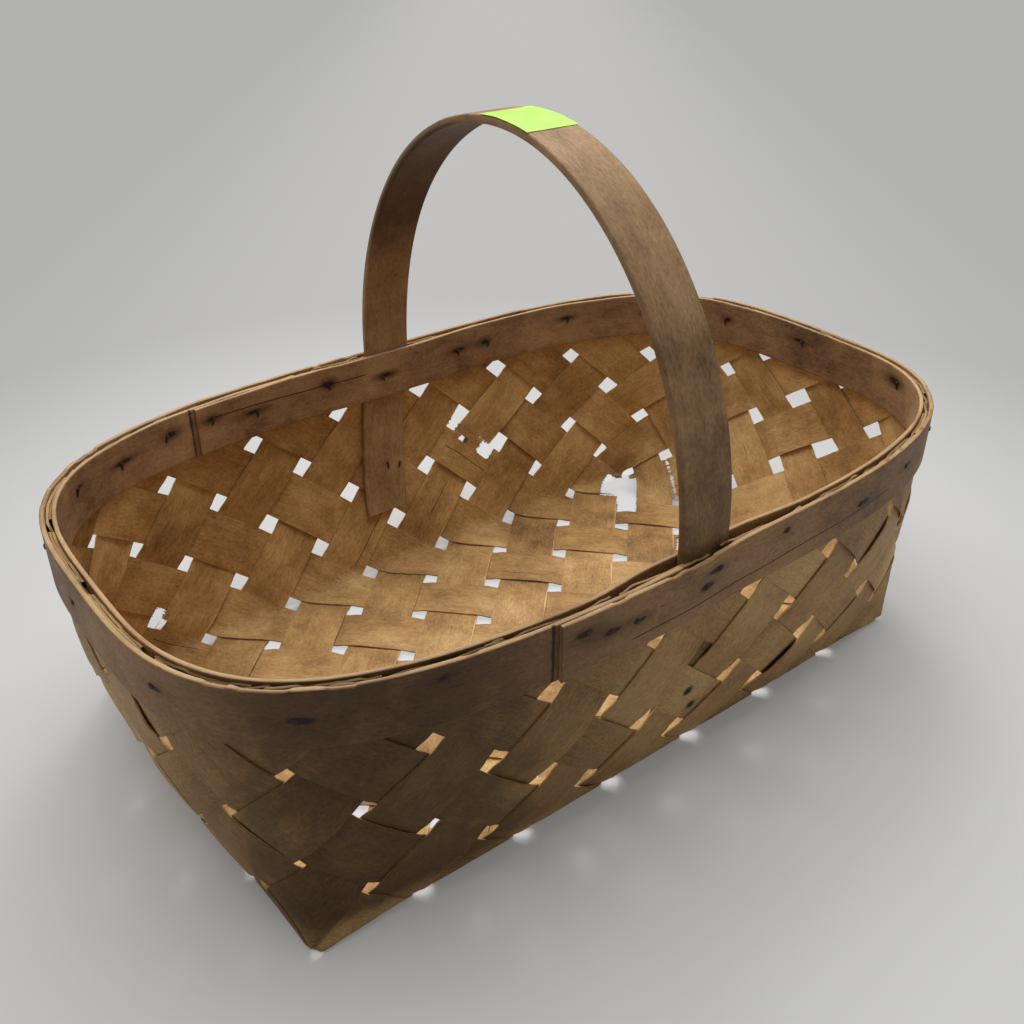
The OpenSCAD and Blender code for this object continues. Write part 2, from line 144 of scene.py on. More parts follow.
def rim_angle(place):
    """The angle of a place round the rim, counted in cells clockwise from the far left corner.
    Each half, left and right of the weave's middle, is walked at an even pace."""
    quarters = (CELLS_LONG + CELLS_WIDE / 2 - place) / (AROUND / 4)
    rounds = np.floor((quarters + 2) / 4)
    rest = quarters - 4 * rounds
    off, shift = np.abs(rest), WEAVE_SHIFT / QUARTER_ROUND
    walked = np.where(off < 1, off * (1 - shift), 1 - shift + (off - 1) * (1 + shift))
    back = np.pi - np.interp(2 - walked, quarter_walk, quarter)
    angle = np.where(walked < 1, np.interp(walked, quarter_walk, quarter), back)
    return 2 * np.pi * rounds + np.sign(rest) * angle


def rim_at(place, depth):
    """The point of the rim at a place, that deep inside its outer face."""
    angle = rim_angle(place)
    return rim_outline(angle) - np.asarray(depth)[..., None] * rim_normal(angle)


def rises(u, v):
    """How far a point of the flat lattice lies beyond the base's far, near, left and right edge."""
    along, across = (u + v) / 2, (u - v) / 2
    return np.stack([-across, across - CELLS_WIDE, -along, along - CELLS_LONG])


def place_round(u, v, pick):
    """The place round the rim above it, on the wall picked: far, near, left or right."""
    along, across = (u + v) / 2, (u - v) / 2
    walls = [along, AROUND - CELLS_WIDE - along, AROUND - across, CELLS_LONG + across]
    return np.choose(pick, walls)


def rows_at(place):
    """The rim at the weave's depth, and the rows of weave in the wall below: a few more at the
    ends of the basket than at its sides."""
    rim = rim_at(place, np.full(np.shape(place), WEAVE_DEPTH))
    return rim, SIDE_ROWS + EXTRA_END_ROWS * (2 * rim[..., 0] / RIM_LENGTH) ** 2


def wall_at(place, rise):
    """A point of the wall: its plan goes from the base's edge to the rim as
    share (1 + belly (1 - share)), and its height grows evenly with the rise."""
    rim, rows = rows_at(place)
    corners = np.cumsum([0, CELLS_LONG, CELLS_WIDE, CELLS_LONG, CELLS_WIDE])
    west, east = BASE_SHIFT - BASE_LENGTH / 2, BASE_SHIFT + BASE_LENGTH / 2
    north = BASE_WIDTH / 2
    p = np.mod(place, AROUND)
    foot = np.stack([
        np.interp(p, corners, [west, east, east, west, west]),
        np.interp(p, corners, [north, north, -north, -north, north]),
    ], -1)
    height = WEAVE_HALF + (RIM_HEIGHT - WEAVE_HALF) * rise / rows
    share = np.minimum(1, (height - WEAVE_HALF) / (RIM_HEIGHT - HOOP_HEIGHT - WEAVE_HALF))
    lean = share * (1 + WALL_BELLY * (1 - share))
    plan = foot + (rim - foot) * lean[..., None]
    return np.concatenate([plan, height[..., None]], -1)


def crisp_sheet(u, v, close_u, close_v):
    """The surface that the splints weave about, at u = along + across and v = along - across.
    Past a corner of the base, the wall is the one that the point close by stands on."""
    here, close = rises(u, v), rises(close_u, close_v)
    in_corner = np.sort(close, 0)[-2] > 0
    pick = np.where(in_corner, close.argmax(0), here.argmax(0))
    rise = np.take_along_axis(here, pick[None], 0)[0]
    flat = np.stack([
        BASE_SHIFT - BASE_LENGTH / 2 + (u + v) / 2 * BASE_LENGTH / CELLS_LONG,
        BASE_WIDTH / 2 - (u - v) / 2 * BASE_WIDTH / CELLS_WIDE,
        WEAVE_HALF + BASE_DOME * smooth(-here.max(0) / DOME_REACH),
    ], -1)
    wall = wall_at(place_round(u, v, pick), np.maximum(rise, 0))
    return np.where(rise[..., None] > 0, wall, flat)


def handle_along(side, height):
    """Where the handle's middle stands along the basket, at a point across and above it."""
    lean = np.tan(FAR_LEG_LEAN) * np.maximum(0, RIM_HEIGHT - height)
    return HANDLE_PLACE + HANDLE_SKEW * side / (2 * HANDLE_HALF) - np.where(side > 0, lean, 0)


# How far either side of a crease the wood bends, in steps, and the share of that at a corner.
BEND_REACH, CORNER_REACH = 0.2, 0.4


def sheet(u, v, close=None):
    """The same surface with its creases eased: the mean of eight points around and of the point
    itself, counted twice. The eight lie closer in near the base's corners."""
    close = close or (u, v)
    along, across = (close[0] + close[1]) / 2, (close[0] - close[1]) / 2
    to_corner = np.hypot(
        np.minimum(np.abs(along), np.abs(along - CELLS_LONG)),
        np.minimum(np.abs(across), np.abs(across - CELLS_WIDE)),
    )
    r = BEND_REACH * (CORNER_REACH + (1 - CORNER_REACH) * smooth(to_corner / 0.8))
    ways = [(1, 0), (-1, 0), (0, 1), (0, -1), (0.5, 0.5), (-0.5, 0.5), (0.5, -0.5), (-0.5, -0.5)]
    ring = [crisp_sheet(u + a * r, v + b * r, *close) for a, b in ways]
    return (sum(ring) + 2 * crisp_sheet(u, v, *close)) / 10


def sheet_normal(u, v):
    """The inward normal: the cross product of the surface's two slopes."""
    step = 0.04
    along_u = sheet(u + step, v, (u, v)) - sheet(u - step, v, (u, v))
    along_v = sheet(u, v + step, (u, v)) - sheet(u, v - step, (u, v))
    n = np.cross(along_u, along_v)
    return n / np.linalg.norm(n, axis=-1, keepdims=True)


def shell_faces(rows, columns):
    """Quads of a closed shell of two like grids of vertices, each numbered row by row: both
    grids, and a strip of quads from one to the other along each of their four edges."""
    total = rows * columns
    i, j = np.arange(rows - 1) * columns, np.arange(columns - 1)
    a = i[:, None] + j
    upper = np.stack([a, a + columns, a + columns + 1, a + 1], -1).reshape(-1, 4)
    strips = []
    for a, step, turned in (
        (i, columns, False), (i + columns - 1, columns, True),
        (j, 1, True), (j + total - columns, 1, False),
    ):
        quads = np.stack([a, a + total, a + step + total, a + step], -1)
        strips.append(quads[:, ::-1] if turned else quads)
    return np.concatenate([upper, (upper + total)[:, ::-1], *strips])


def make_piece(name, points, faces, uv, material, slot, node, **values):
    """A smooth mesh from a grid of points, in place of a CAD node. Its UV map, in metres along
    and across the grain, and its named values are spread over the same grid. The faces of a
    closed shell point outwards when its volume, a sum of triple products, is above zero."""
    grid, points = points.shape[:-1], points.reshape(-1, 3)
    a, b, c, d = (points[faces[:, k]] for k in range(4))
    if (np.cross(b - a, c - a) * a).sum() + (np.cross(c - a, d - a) * a).sum() < 0:
        faces = faces[:, ::-1]
    mesh = bpy.data.meshes.new(name)
    mesh.from_pydata(points.tolist(), [], faces.tolist())
    corner = np.zeros(len(mesh.loops), np.int32)
    mesh.loops.foreach_get("vertex_index", corner)
    uv = np.broadcast_to(uv, (*grid, 2)).reshape(-1, 2)
    mesh.uv_layers.new(name="grain").data.foreach_set("uv", uv[corner].ravel())
    for key, value in values.items():
        value = np.broadcast_to(value, grid).ravel().astype(np.float32)
        mesh.attributes.new(key, "FLOAT", "POINT").data.foreach_set("value", value)
    mesh.polygons.foreach_set("use_smooth", np.ones(len(mesh.polygons), bool))
    mesh.set_sharp_from_angle(angle=np.radians(40))
    mesh.materials.append(material)
    piece = bpy.data.objects.new(name, mesh)
    bpy.context.scene.collection.objects.link(piece)
    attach(piece, "root")
    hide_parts(node)


class Finish:
    """A socket in a node tree. Sums, differences and products of it add Math nodes."""

    def __init__(self, tree, socket=None):
        self.tree, self.socket = tree, socket

    def node(self, kind, settings=(), sockets=(), out=0):
        """Adds a node: settings first, then a value or a link for each named socket."""
        made = self.tree.nodes.new("ShaderNode" + kind)
        for key, value in dict(settings).items():
            if key == "stops":
                ramp = made.color_ramp.elements
                while len(ramp) < len(value):
                    ramp.new(0.5)
                for stop, (at, colour) in zip(ramp, value):
                    stop.position, stop.color = at, (*colour, 1)
            else:
                setattr(made, key, value)
        for key, value in dict(sockets).items():
            if isinstance(value, Finish):
                self.tree.links.new(value.socket, made.inputs[key])
            else:
                made.inputs[key].default_value = value
        return Finish(self.tree, made.outputs[out])

    def other(self, name):
        """Another output of the same node."""
        return Finish(self.tree, self.socket.node.outputs[name])

    def show(self, kind="Material"):
        """Links a finished shader to the output of its material or world."""
        out = self.tree.nodes.new("ShaderNodeOutput" + kind)
        self.tree.links.new(self.socket, out.inputs["Surface"])

    def math(self, operation, *others):
        values = dict(enumerate([self, *others]))
        return self.node("Math", {"operation": operation}, values)

    def __add__(self, other):
        return self.math("ADD", other)

    __radd__ = __add__

    def __mul__(self, other):
        return self.math("MULTIPLY", other)

    __rmul__ = __mul__

    def __sub__(self, other):
        return self.math("SUBTRACT", other)

    def __rsub__(self, other):
        return (self * -1) + other

    def __abs__(self):
        return self.math("ABSOLUTE")

    def between(self, low, high):
        """0 at low and below, 1 at high and above, eased between."""
        settings = {"interpolation_type": "SMOOTHSTEP"}
        return self.node("MapRange", settings, {"Value": self, "From Min": low, "From Max": high})

    def value(self, name):
        return self.node("Attribute", {"attribute_name": name}, out="Fac")

    def vector(self, x, y, z):
        return self.node("CombineXYZ", (), {"X": x, "Y": y, "Z": z})

    def noise(self, where, scale, detail=2.0, rough=0.5):
        sockets = {"Vector": where, "Scale": scale, "Detail": detail, "Roughness": rough}
        return self.node("TexNoise", (), sockets)

    def mix(self, share, a, b, blend="MIX"):
        settings = {"data_type": "RGBA", "blend_type": blend}
        return self.node("Mix", settings, {0: share, 6: a, 7: b}, out=2)

    def bump(self, height, distance):
        sockets = {"Height": height, "Distance": distance, "Strength": 1.0}
        return self.node("Bump", (), sockets)


def empty_nodes(owner):
    """Clears the nodes of a material or a world, and gives a Finish to add new ones with."""
    owner.use_nodes = True
    owner.node_tree.nodes.clear()
    return Finish(owner.node_tree)


def linear(red, green, blue):
    """A screen colour from 0 to 255 as the linear colour that a shader takes."""
    c = np.array([red, green, blue]) / 255
    c = np.where(c <= 0.04045, c / 12.92, ((c + 0.055) / 1.055) ** 2.4)
    return (*map(float, c), 1.0)


# Tints for smoke and dirt, also used for painted shade, for splits, and for rust, also used for
# painted shadow.
SOOT_AND_SHADE_TINT, CRACK_BROWN = (0.205, 0.175, 0.145, 1.0), linear(22, 15, 10)
RUST_AND_SHADOW_BLACK, WHITE = linear(26, 20, 19), (1.0, 1.0, 1.0, 1.0)


def wood(name, dark, middle, light, bare, weathered=WHITE, blotch=1.0):
    """Old untreated wood. Its grain runs along the UV map: fibres half a millimetre across and a
    centimetre long, broader bands, a fine mottle, and stains that follow the shape. The outside is
    tinted as weathered. The vertex values are tone, -1 to 1, face, 1 inside and 0 outside, soot, rust
    and bare, 0 to 1, torn, above 0 where the wood is gone, and crack, the distance from a split in
    millimetres. Beside smoke and dirt, the soot value carries painted shade under the handle's arch;
    beside nail stains, the rust value carries a painted shadow at the hoops' laps; and beside worn
    wood, the bare value carries a painted highlight along the splints' edges."""
    material = bpy.data.materials.new(name)
    start = empty_nodes(material)
    place = start.node("TexCoord", out="Object")
    along = start.node("SeparateXYZ", (), {"Vector": start.node("UVMap", {"uv_map": "grain"})})
    across = along.other("Y")
    tone, face = start.value("tone"), start.value("face")
    layer = tone * 3.7 + face * 5.3
    wander = (start.noise(place, 30.0, 2.0) - 0.5) * 0.004
    crosswise = across + wander
    fibres = start.noise(start.vector(along * 90.0, crosswise * 2400.0, layer), 1.0, 3.0, 0.65)
    bands = start.noise(start.vector(along * 12.0, crosswise * 260.0, layer + 9.0), 1.0, 3.0, 0.55)
    stains = start.noise(start.vector(along * 60.0, crosswise * 120.0, layer + 4.0), 1.0, 4.0, 0.6)
    clouds = start.noise(place, 34.0, 4.0, 0.62)
    mottle = start.noise(start.vector(along * 420.0, across * 800.0, layer), 1.0, 3.0, 0.6)
    shade = (
        0.5 + tone * 0.24
        + (fibres - 0.5) * 0.32
        + (bands - 0.5) * 0.25
        + (mottle - 0.5) * 0.6
        + (stains - 0.5) * (0.4 * blotch)
        + (clouds - 0.5) * (0.9 * blotch)
    )
    stops = [(0.08, dark[:3]), (0.5, middle[:3]), (0.92, light[:3])]
    colour = start.node("ValToRGB", {"stops": stops}, {"Fac": shade})
    colour = start.mix(1 - face, colour, weathered, "MULTIPLY")
    pores = start.noise(start.vector(along * 160.0, across * 700.0, layer), 1.0, 2.0)
    colour = start.mix(pores.between(0.64, 0.76) * 0.45, colour, dark)
    # Smoke and dirt, and under the handle's arch painted shade.
    soot = start.value("soot")
    patches = clouds.between(0.38, 0.62) * 0.35 + 0.9
    soot_and_shade_smear = (soot * patches + (clouds - 0.5) * 0.5 + (stains - 0.5) * 0.5).between(0.1, 1.1)
    colour = start.mix(soot_and_shade_smear * 0.95, colour, SOOT_AND_SHADE_TINT, "MULTIPLY")
    # Worn wood, and on the splints a painted highlight along their edges, in the bare wood colour.
    bare_and_highlight_share = (start.value("bare") + (fibres - 0.5) * 0.5 + (clouds - 0.5) * 0.5).between(0.25, 0.85)
    colour = start.mix(bare_and_highlight_share * 0.8, colour, bare)
    crack = start.value("crack") + (bands - 0.5) * 0.5
    colour = start.mix(1 - abs(crack).between(0.18, 0.4), colour, CRACK_BROWN)
    # Rust round the nails, and at the hoops' laps a painted shadow.
    rust = (start.value("rust") + (fibres - 0.5) * 0.5 + (stains - 0.5) * 0.6).between(0.3, 0.8)
    colour = start.mix(rust * 0.9, colour, RUST_AND_SHADOW_BLACK)
    height = fibres * 0.5 + bands * 0.3 + mottle * 0.3 - pores.between(0.64, 0.76) * 0.4
    splinter = start.noise(start.vector(along * 30.0, across * 900.0, layer + 2.0), 1.0, 3.0, 0.7)
    whole = 1 - (start.value("torn") + (splinter - 0.5) * 1.8).between(-0.02, 0.02)
    start.node("BsdfPrincipled", (), {
        "Base Color": colour, "Roughness": 0.62 + (bands - 0.5) * 0.2, "Alpha": whole,
        "Normal": start.bump(height, 0.00012), "Specular IOR Level": 0.25,
    }).show()
    return material


splint_wood = wood(
    "splint_wood", linear(96, 67, 37), linear(172, 133, 82), linear(218, 182, 124),
    bare=linear(230, 200, 148),
)
# Half the length, in steps, over which a splint stays on one side as it crosses another, how
# high it bulges there, and how far its lower edge stands off.
OVERLAP, PILLOW, CURL = 0.42, 0.0005, 0.0006
# At the rim the splints spread by this much to both sides and lean inwards by this much.
END_SPREAD, END_LEAN = 0.00025, 0.0003
# The width of a splint as a share of the full one, on the base and at its trimmed ends, and how
# uneven the trimmed ends are.
BASE_SHARE, END_SHARE, RAGGED = 1.02, 0.97, 0.0005
LINES_ACROSS, STATIONS_PER_STEP = 21, 18
handle_nail_height = HANDLE_FOOT + HANDLE_NAILS[:, 1] * (RIM_HEIGHT - HOOP_HEIGHT - HANDLE_FOOT)
handle_nail_rise = (handle_nail_height - WEAVE_HALF) / (RIM_HEIGHT - WEAVE_HALF) * SIDE_ROWS
handle_nail_at = wall_at(HANDLE_NAILS[:, 0], handle_nail_rise)
# Torn places: the splint, the middle along and across it, and half the length and width, in
# steps. Splits along the grain: the splint, where across it, and from where to where.
TEARS = [
    ("b", 10, 3.84, 5.77, 0.16, 0.15), ("a", 4, 5.74, 3.76, 0.13, 0.20),
    ("b", 10, 3.32, 5.68, 0.10, 0.05), ("a", 4, 5.68, 3.32, 0.10, 0.06),
    ("b", 11, 6.95, 6.45, 0.36, 0.35), ("a", 7, 6.45, 6.82, 0.36, 0.24),
    ("a", 8, 6.30, 7.10, 0.78, 0.16), ("b", 10, 7.08, 5.76, 0.18, 0.26),
    ("b", 11, 7.02, 6.90, 0.09, 0.16), ("b", 12, 7.02, 7.20, 0.06, 0.22),
    ("b", 11, 7.98, 6.55, 0.035, 0.50), ("b", 9, 7.97, 4.60, 0.035, 0.20),
    ("b", 6, -0.02, 1.16, 0.12, 0.10), ("a", 1, 1.02, 0.14, 0.10, 0.06),
    ("b", 10, 3.00, 5.84, 0.09, 0.14),
]
SPLITS = [
    ("b", 10, 5.44, 3.1, 4.1), ("a", 3, 2.70, 3.0, 4.1), ("a", 4, 3.52, 4.3, 4.95),
    ("b", 5, 0.76, 0.1, 0.95), ("a", 7, 6.30, 4.1, 4.9), ("b", 8, 3.30, 5.1, 5.8),
    ("a", 9, 8.35, -0.9, 0.2), ("b", 3, -1.7, 6.1, 7.6), ("a", 6, 5.6, -2.9, -1.7),
]
# The values of torn and crack where the wood is whole.
NO_TEAR, NO_CRACK = -2, 9
# Where the outside is blackened most, and how far along and across from there.
SMOKED_CORNER, SMOKE_REACH = (-0.17, -0.13), (0.085, 0.07)
# Where the splints of the near left corner are wider, and how far along and across from there.
FULL_CORNER, FULL_REACH = (-0.18, -0.125), (0.05, 0.04)
# The splints lie flat this far below the hoops, above the ground and beside the handle's middle.
HOOP_GRIP, GROUND_GRIP, LEG_GRIP = 0.004, 0.006, 0.018
# Splints that are narrower on the right end's wall: by what share of their width, and how many
# steps they have slid sideways there.
NARROW_ENDS = {("a", 11): (0.12, -0.09), ("b", 7): (0.10, 0), ("b", 6): (0.12, 0)}


def bell(point, middle, reach):
    """A hill in plan, 1 high: e to the power of -(x / a)^2 - (y / b)^2 about its middle."""
    return np.exp(-(((point[..., :2] - middle) / reach) ** 2).sum(-1))


def smoke(point):
    """Smoke and dirt on the outside: a little all along the near side, and a bell of it by the
    near left corner."""
    by_corner = bell(point, SMOKED_CORNER, SMOKE_REACH)
    return 0.12 + 0.14 * smooth(-point[..., 1] / 0.1) + 0.85 * by_corner


def lattice(is_a, run, side):
    """u and v of the point that lies so many steps along and across the splints of a set."""
    return (side, run) if is_a else (run, side)


def pace(is_a, own, run):
    """The metres of a step across a splint, from the length of a line over its middle that is
    0.35 steps long on either side."""
    line = [sheet(*lattice(is_a, run, own + d)) for d in (-0.35, 0, 0.35)]
    return sum(np.linalg.norm(line[k + 1] - line[k], axis=-1) for k in (0, 1)) / 0.7


def base_edge(is_a, side, forward):
    """How many steps along the splint the base ends, on a line that lies that far across."""
    if is_a and forward:
        return np.minimum(side, 2 * CELLS_LONG - side)
    if is_a:
        return np.maximum(side - 2 * CELLS_WIDE, -side)
    return np.minimum(side + 2 * CELLS_WIDE, 2 * CELLS_LONG - side) if forward else np.abs(side)


def trimmed_end(is_a, own, across, seed, forward):
    """How many steps along the splint it ends, on each of its lines: the edge of the base plus
    the rise to the trimmed height, in a few rounds, because rows and width vary on the way."""
    way = 1 if forward else -1
    cut = RIM_HEIGHT - SPLINT_TRIM - RAGGED * (1 + sway(5 * across, seed + way, 3))
    run = base_edge(is_a, own + 0 * across, forward) + way * 2 * SIDE_ROWS
    for _ in range(8):
        side = own + across * END_SHARE * SPLINT_WIDTH / 2 / pace(is_a, own, run)
        u, v = lattice(is_a, run, side)
        rows = rows_at(place_round(u, v, rises(u, v).argmax(0)))[1]
        climb = way * 2 * rows * (cut - WEAVE_HALF) / (RIM_HEIGHT - WEAVE_HALF)
        run = base_edge(is_a, side, forward) + climb
    return run


def splint_edges(set_name, number, own, run, line, climbed, seed):
    """How far across a splint's middle lies, and half its width, in steps. It wanders a little.
    It is narrower up the walls, more so at the right end, and wider at the near left corner.
    On the near wall the first set is narrower still, and the second wider."""
    is_a = set_name == "a"
    x, y = line[..., 0], line[..., 1]
    near_side = smooth((-y - 0.1) / 0.02) * (0.11 if is_a else -0.05)
    right_end = smooth((x - 0.14) / 0.06)
    right_wall = smooth((x - 0.185) / 0.015)
    near_left = bell(line, FULL_CORNER, FULL_REACH)
    narrower, slid = NARROW_ENDS.get((set_name, number), (0, 0))
    wear = 0.05 + 0.05 * right_end + near_side + narrower * right_wall - 0.12 * near_left
    share = BASE_SHARE - climbed * wear + 0.015 * sway(1.7 * run, seed + 5)
    centre = own + 0.012 * sway(0.9 * run, seed) + slid * right_wall
    return centre, SPLINT_WIDTH / 2 / pace(is_a, own, run) * share


def over_and_under(is_a, own, run):
    """1 where a splint lies on the inside of the weave, and -1 on the outside. It changes
    sides half way between its crossings, which are in the middles of the steps."""
    crossing = np.floor(run - 0.5)
    passing = smooth((run - 0.5 - crossing - OVERLAP) / (1 - 2 * OVERLAP))
    inside = np.where((crossing + np.floor(own)) % 2 == (1 if is_a else 0), 1, -1)
    return inside * (1 - 2 * passing)


def freedom(middle, weave):
    """1 where a splint may bulge and curl, and 0 in the hoops, on the ground and by a leg."""
    x, y, z = np.moveaxis(middle, -1, 0)
    free = smooth((RIM_HEIGHT - HOOP_HEIGHT - HOOP_GRIP - z) / 0.012)
    free = free * np.where(weave < 0, smooth((z - GROUND_GRIP) / 0.02), 1)
    return free * smooth((np.abs(x - handle_along(y, z)) - LEG_GRIP) / 0.01)


def tear_at(set_name, number, run, side):
    """Above 0 in the splint's torn places: how far inside their nearer edge a point lies."""
    torn = 0 * side + NO_TEAR
    for name, splint, along, across, half_length, half_width in TEARS:
        if (name, splint) == (set_name, number):
            ends_in = (half_length - np.abs(run - along)) * 8
            sides_in = (half_width - np.abs(side - across)) * 20
            torn = np.maximum(torn, np.minimum(ends_in, sides_in))
    return torn


def split_at(set_name, number, run, side, seed):
    """Millimetres across the grain from the splint's split, and far more past its ends."""
    crack = 0 * side + NO_CRACK
    for name, splint, across, first, last in SPLITS:
        if (name, splint) == (set_name, number):
            past = np.maximum(0, np.maximum(first - run, run - last)) * 200
            off = (side - across - 0.008 * sway(4 * run, seed)) * 55
            crack = off + np.sign(off) * past
    return crack


def plait(set_name, number):
    """One splint as a closed shell: a grid of stations along it by lines across it, on the
    weave's surface, pushed to the inside and the outside in turn, a splint's thickness apart.
    Over each crossing it bulges, and its lower edge stands off."""
    is_a = set_name == "a"
    own = number - 0.5 if is_a else number - 0.5 - CELLS_WIDE
    seed = number + (0 if is_a else 31)
    across = np.linspace(-1, 1, LINES_ACROSS)
    ends = [trimmed_end(is_a, own, across, seed, forward) for forward in (False, True)]
    count = int(np.ceil((ends[1].mean() - ends[0].mean()) * STATIONS_PER_STEP))
    share = np.linspace(0, 1, count)[:, None]
    run = ends[0] * (1 - share) + ends[1] * share
    line = sheet(*lattice(is_a, run, own))
    climbed = smooth(line[..., 2] / 0.03)
    centre, half = splint_edges(set_name, number, own, run, line, climbed, seed)
    side = centre + across * half
    u, v = lattice(is_a, run, side)
    middle, normal = sheet(u, v), sheet_normal(u, v)
    weave = over_and_under(is_a, own, run)
    from_crossing = (run - np.floor(run) - 0.5) / OVERLAP
    bulge = np.clip(1 - from_crossing ** 2, 0, 1) * (1 - across ** 2)
    # Which edge is the lower one on a wall. On the base it is the same one all along a set.
    falls = np.clip((middle[:, :1, 2] - middle[:, -1:, 2]) / 0.008, -1, 1)
    falls = falls + (1 - np.abs(falls)) * (1 if is_a else -1)
    curl = smooth(1.8 - 1.8 * np.abs(from_crossing)) * np.clip(across * falls, 0, 1) ** 2
    curl = curl * (0.75 + 0.5 * sway(1.1 * run, seed + 3)) * (1.8 - 0.8 * weave)
    curl = curl * np.where(weave > 0, 1 + climbed, 1)
    splay = smooth((middle[..., 2] - RIM_HEIGHT + 0.02) / 0.012)
    lift = (PILLOW * bulge + CURL * curl) * freedom(middle, weave)
    offset = weave * ((SPLINT_THICKNESS + SPLINT_AIR) / 2 + END_SPREAD * splay + lift)
    offset = offset + END_LEAN * splay
    centre = middle + offset[..., None] * normal
    half_thick = SPLINT_THICKNESS / 2 * (1 + 0.7 * splay[..., None]) * normal
    length = run * BASE_LENGTH / CELLS_LONG / np.sqrt(2) + 0.7 * seed
    uv = np.stack([length, across * SPLINT_WIDTH / 2 + 0 * run], -1)
    tone = np.sin(37.7 * seed) * 0.6 + 0.55 * sway(1.2 * run, seed + 8)
    tone = tone + 0.15 * climbed + 0.4 * smooth((middle[..., 0] - 0.13) / 0.06)
    to_nail = np.min(np.linalg.norm(middle[..., None, :] - handle_nail_at, axis=-1), -1)
    # The walls are smoked outside, and the trimmed ends in the rim are dirty on both faces.
    grime = smoke(middle) * smooth(middle[..., 2] / 0.02)
    old_end = 0.45 * smooth((middle[..., 2] - RIM_HEIGHT + 0.008) / 0.004)
    # On the inner face a highlight is painted along the edges that stand off, on the base and most on
    # the first set, and a faint one along every edge.
    light = (0.5 + 0.3 * sway(3 * run, seed)) * smooth((across * falls - 0.88) / 0.12)
    light = light * (1 if is_a else 0.3) * smooth(1 - middle[..., 2] / 0.03)
    light = light + 0.15 * (np.abs(across) > 0.99)
    make_piece(
        f"plaited_{set_name}{number:02d}",
        np.stack([centre + half_thick, centre - half_thick]),
        shell_faces(count, LINES_ACROSS), uv,
        splint_wood, "splint_wood", f"splint_{set_name}{number:02d}",
        tone=tone,
        face=np.reshape([1, 0], (2, 1, 1)),
        soot=[old_end, grime + old_end],
        rust=np.exp(-(to_nail / 0.004) ** 2),
        bare=[light, 0 * light],
        torn=tear_at(set_name, number, run, side),
        crack=split_at(set_name, number, run, side, seed),
    )


for set_name in "ab":
    for number in range(1, CELLS_LONG + CELLS_WIDE + 1):
        plait(set_name, number)

# === Outer hoop ===================================================================
# A sawn strip of harder wood, 28 mm high and 2.3 mm thick, steamed and bent round the outside
# of the splints' ends. Its ends lap on the near side, where nails hold them.
# The lap's length and the air in it, the cells over which a strip eases down beside it, and
# the place round the rim where the outer end of this one is.
LAP_LENGTH, LAP_AIR, EASE_CELLS, OUTER_LAP_END = 0.066, 0.0002, 0.8, 16.02
LAP_CELLS = LAP_LENGTH / CELL_ROUND
HOOP_CELLS, HOOP_STATIONS = AROUND + LAP_CELLS, 960
HOOP_CORNER = 0.0006
# Rim nails: place round the rim, and depth below its top as a share of the hoops' height.
RIM_NAILS = np.array([
    [0.5, 0.43], [1.06, 0.34], [1.56, 0.31], [2.04, 0.46], [2.85, 0.37], [3.48, 0.51], [4.44, 0.46],
    [4.86, 0.46], [5.92, 0.34], [6.92, 0.43], [7.9, 0.40], [8.94, 0.34], [10.3, 0.29], [11.2, 0.43],
    [12, 0.46], [12.76, 0.57], [13.74, 0.26], [14.5, 0.29], [14.64, 0.51], [15.36, 0.49], [15.6, 0.46],
    [15.8, 0.29], [16.87, 0.23], [17.86, 0.51], [18.92, 0.46], [20.2, 0.51], [21, 0.40], [21.86, 0.31],
])


def lap_lift(from_end, thickness):
    """How far a strip stands off the layer below: its own thickness over the lap, easing to 0."""
    return (thickness + LAP_AIR) * (1 - smooth((from_end - LAP_CELLS) / EASE_CELLS))


def cut_end(height, thickness, c, points):
    """Points round a strip's cut end, an oblong whose corners are rounded to a radius c: how
    far out from its outer face, how high, and the distance walked, up the outer face first."""
    arc = np.linspace(0, np.pi / 2, 4)
    up = np.linspace(c, height - c, points + 2)[1:-1]
    out = np.concatenate([c * np.sin(arc) - c, 0 * up, c * np.cos(arc) - c])
    high = np.concatenate([c - c * np.cos(arc), up, height - c + c * np.sin(arc)])
    out = np.concatenate([out, -thickness - out[::-1]])
    high = np.concatenate([high, high[::-1]])
    walked = np.concatenate([[0], np.cumsum(np.hypot(np.diff(out), np.diff(high)))])
    return out, high, walked


def strip_faces(stations, ring):
    """The sides and both ends of a strip whose ring of points is carried along its stations."""
    i, j = np.meshgrid(np.arange(stations - 1) * ring, np.arange(ring), indexing="ij")
    a, b = i + j, i + (j + 1) % ring
    sides = np.stack([a, a + ring, b + ring, b], -1)
    k = np.arange(ring // 2 - 1)
    end = np.stack([k, k + 1, ring - 2 - k, ring - 1 - k], -1)
    last = (stations - 1) * ring
    return np.concatenate([sides.reshape(-1, 4), end, end[:, ::-1] + last])


def nail_stain(place, height, nails, seed, spread=1.0):
    """Rust round the nails: a sum of bells that are longer along the grain than across it. The
    place round the rim is in cells, and the height in metres."""
    apart = (place[..., None] - nails[:, 0] + AROUND / 2) % AROUND - AROUND / 2
    above = height[..., None] - (RIM_HEIGHT - nails[:, 1] * HOOP_HEIGHT)
    k = np.arange(len(nails)) + seed
    long = 0.0048 * spread * (1 + 0.4 * np.sin(4.1 * k))
    slip = 0.003 * np.sin(7.7 * k)
    high = 0.0016 * spread * (1 + 0.25 * np.sin(2.3 * k))
    bells = np.exp(-((apart * CELL_ROUND - slip) / long) ** 2 - (above / high) ** 2)
    return np.minimum(1, 1.1 * bells.sum(-1))


def split_line(place, height, split, seed):
    """Millimetres above a split that runs from one place to another, that far below the rim."""
    past = np.maximum(0, np.maximum(split[0] - place, place - split[1])) * 400
    below = split[2] + 0.0006 * sway(2 * place, seed) + 0.0012 * (place - split[0])
    off = (height - RIM_HEIGHT + below) * 1000
    return off + np.sign(off) * past


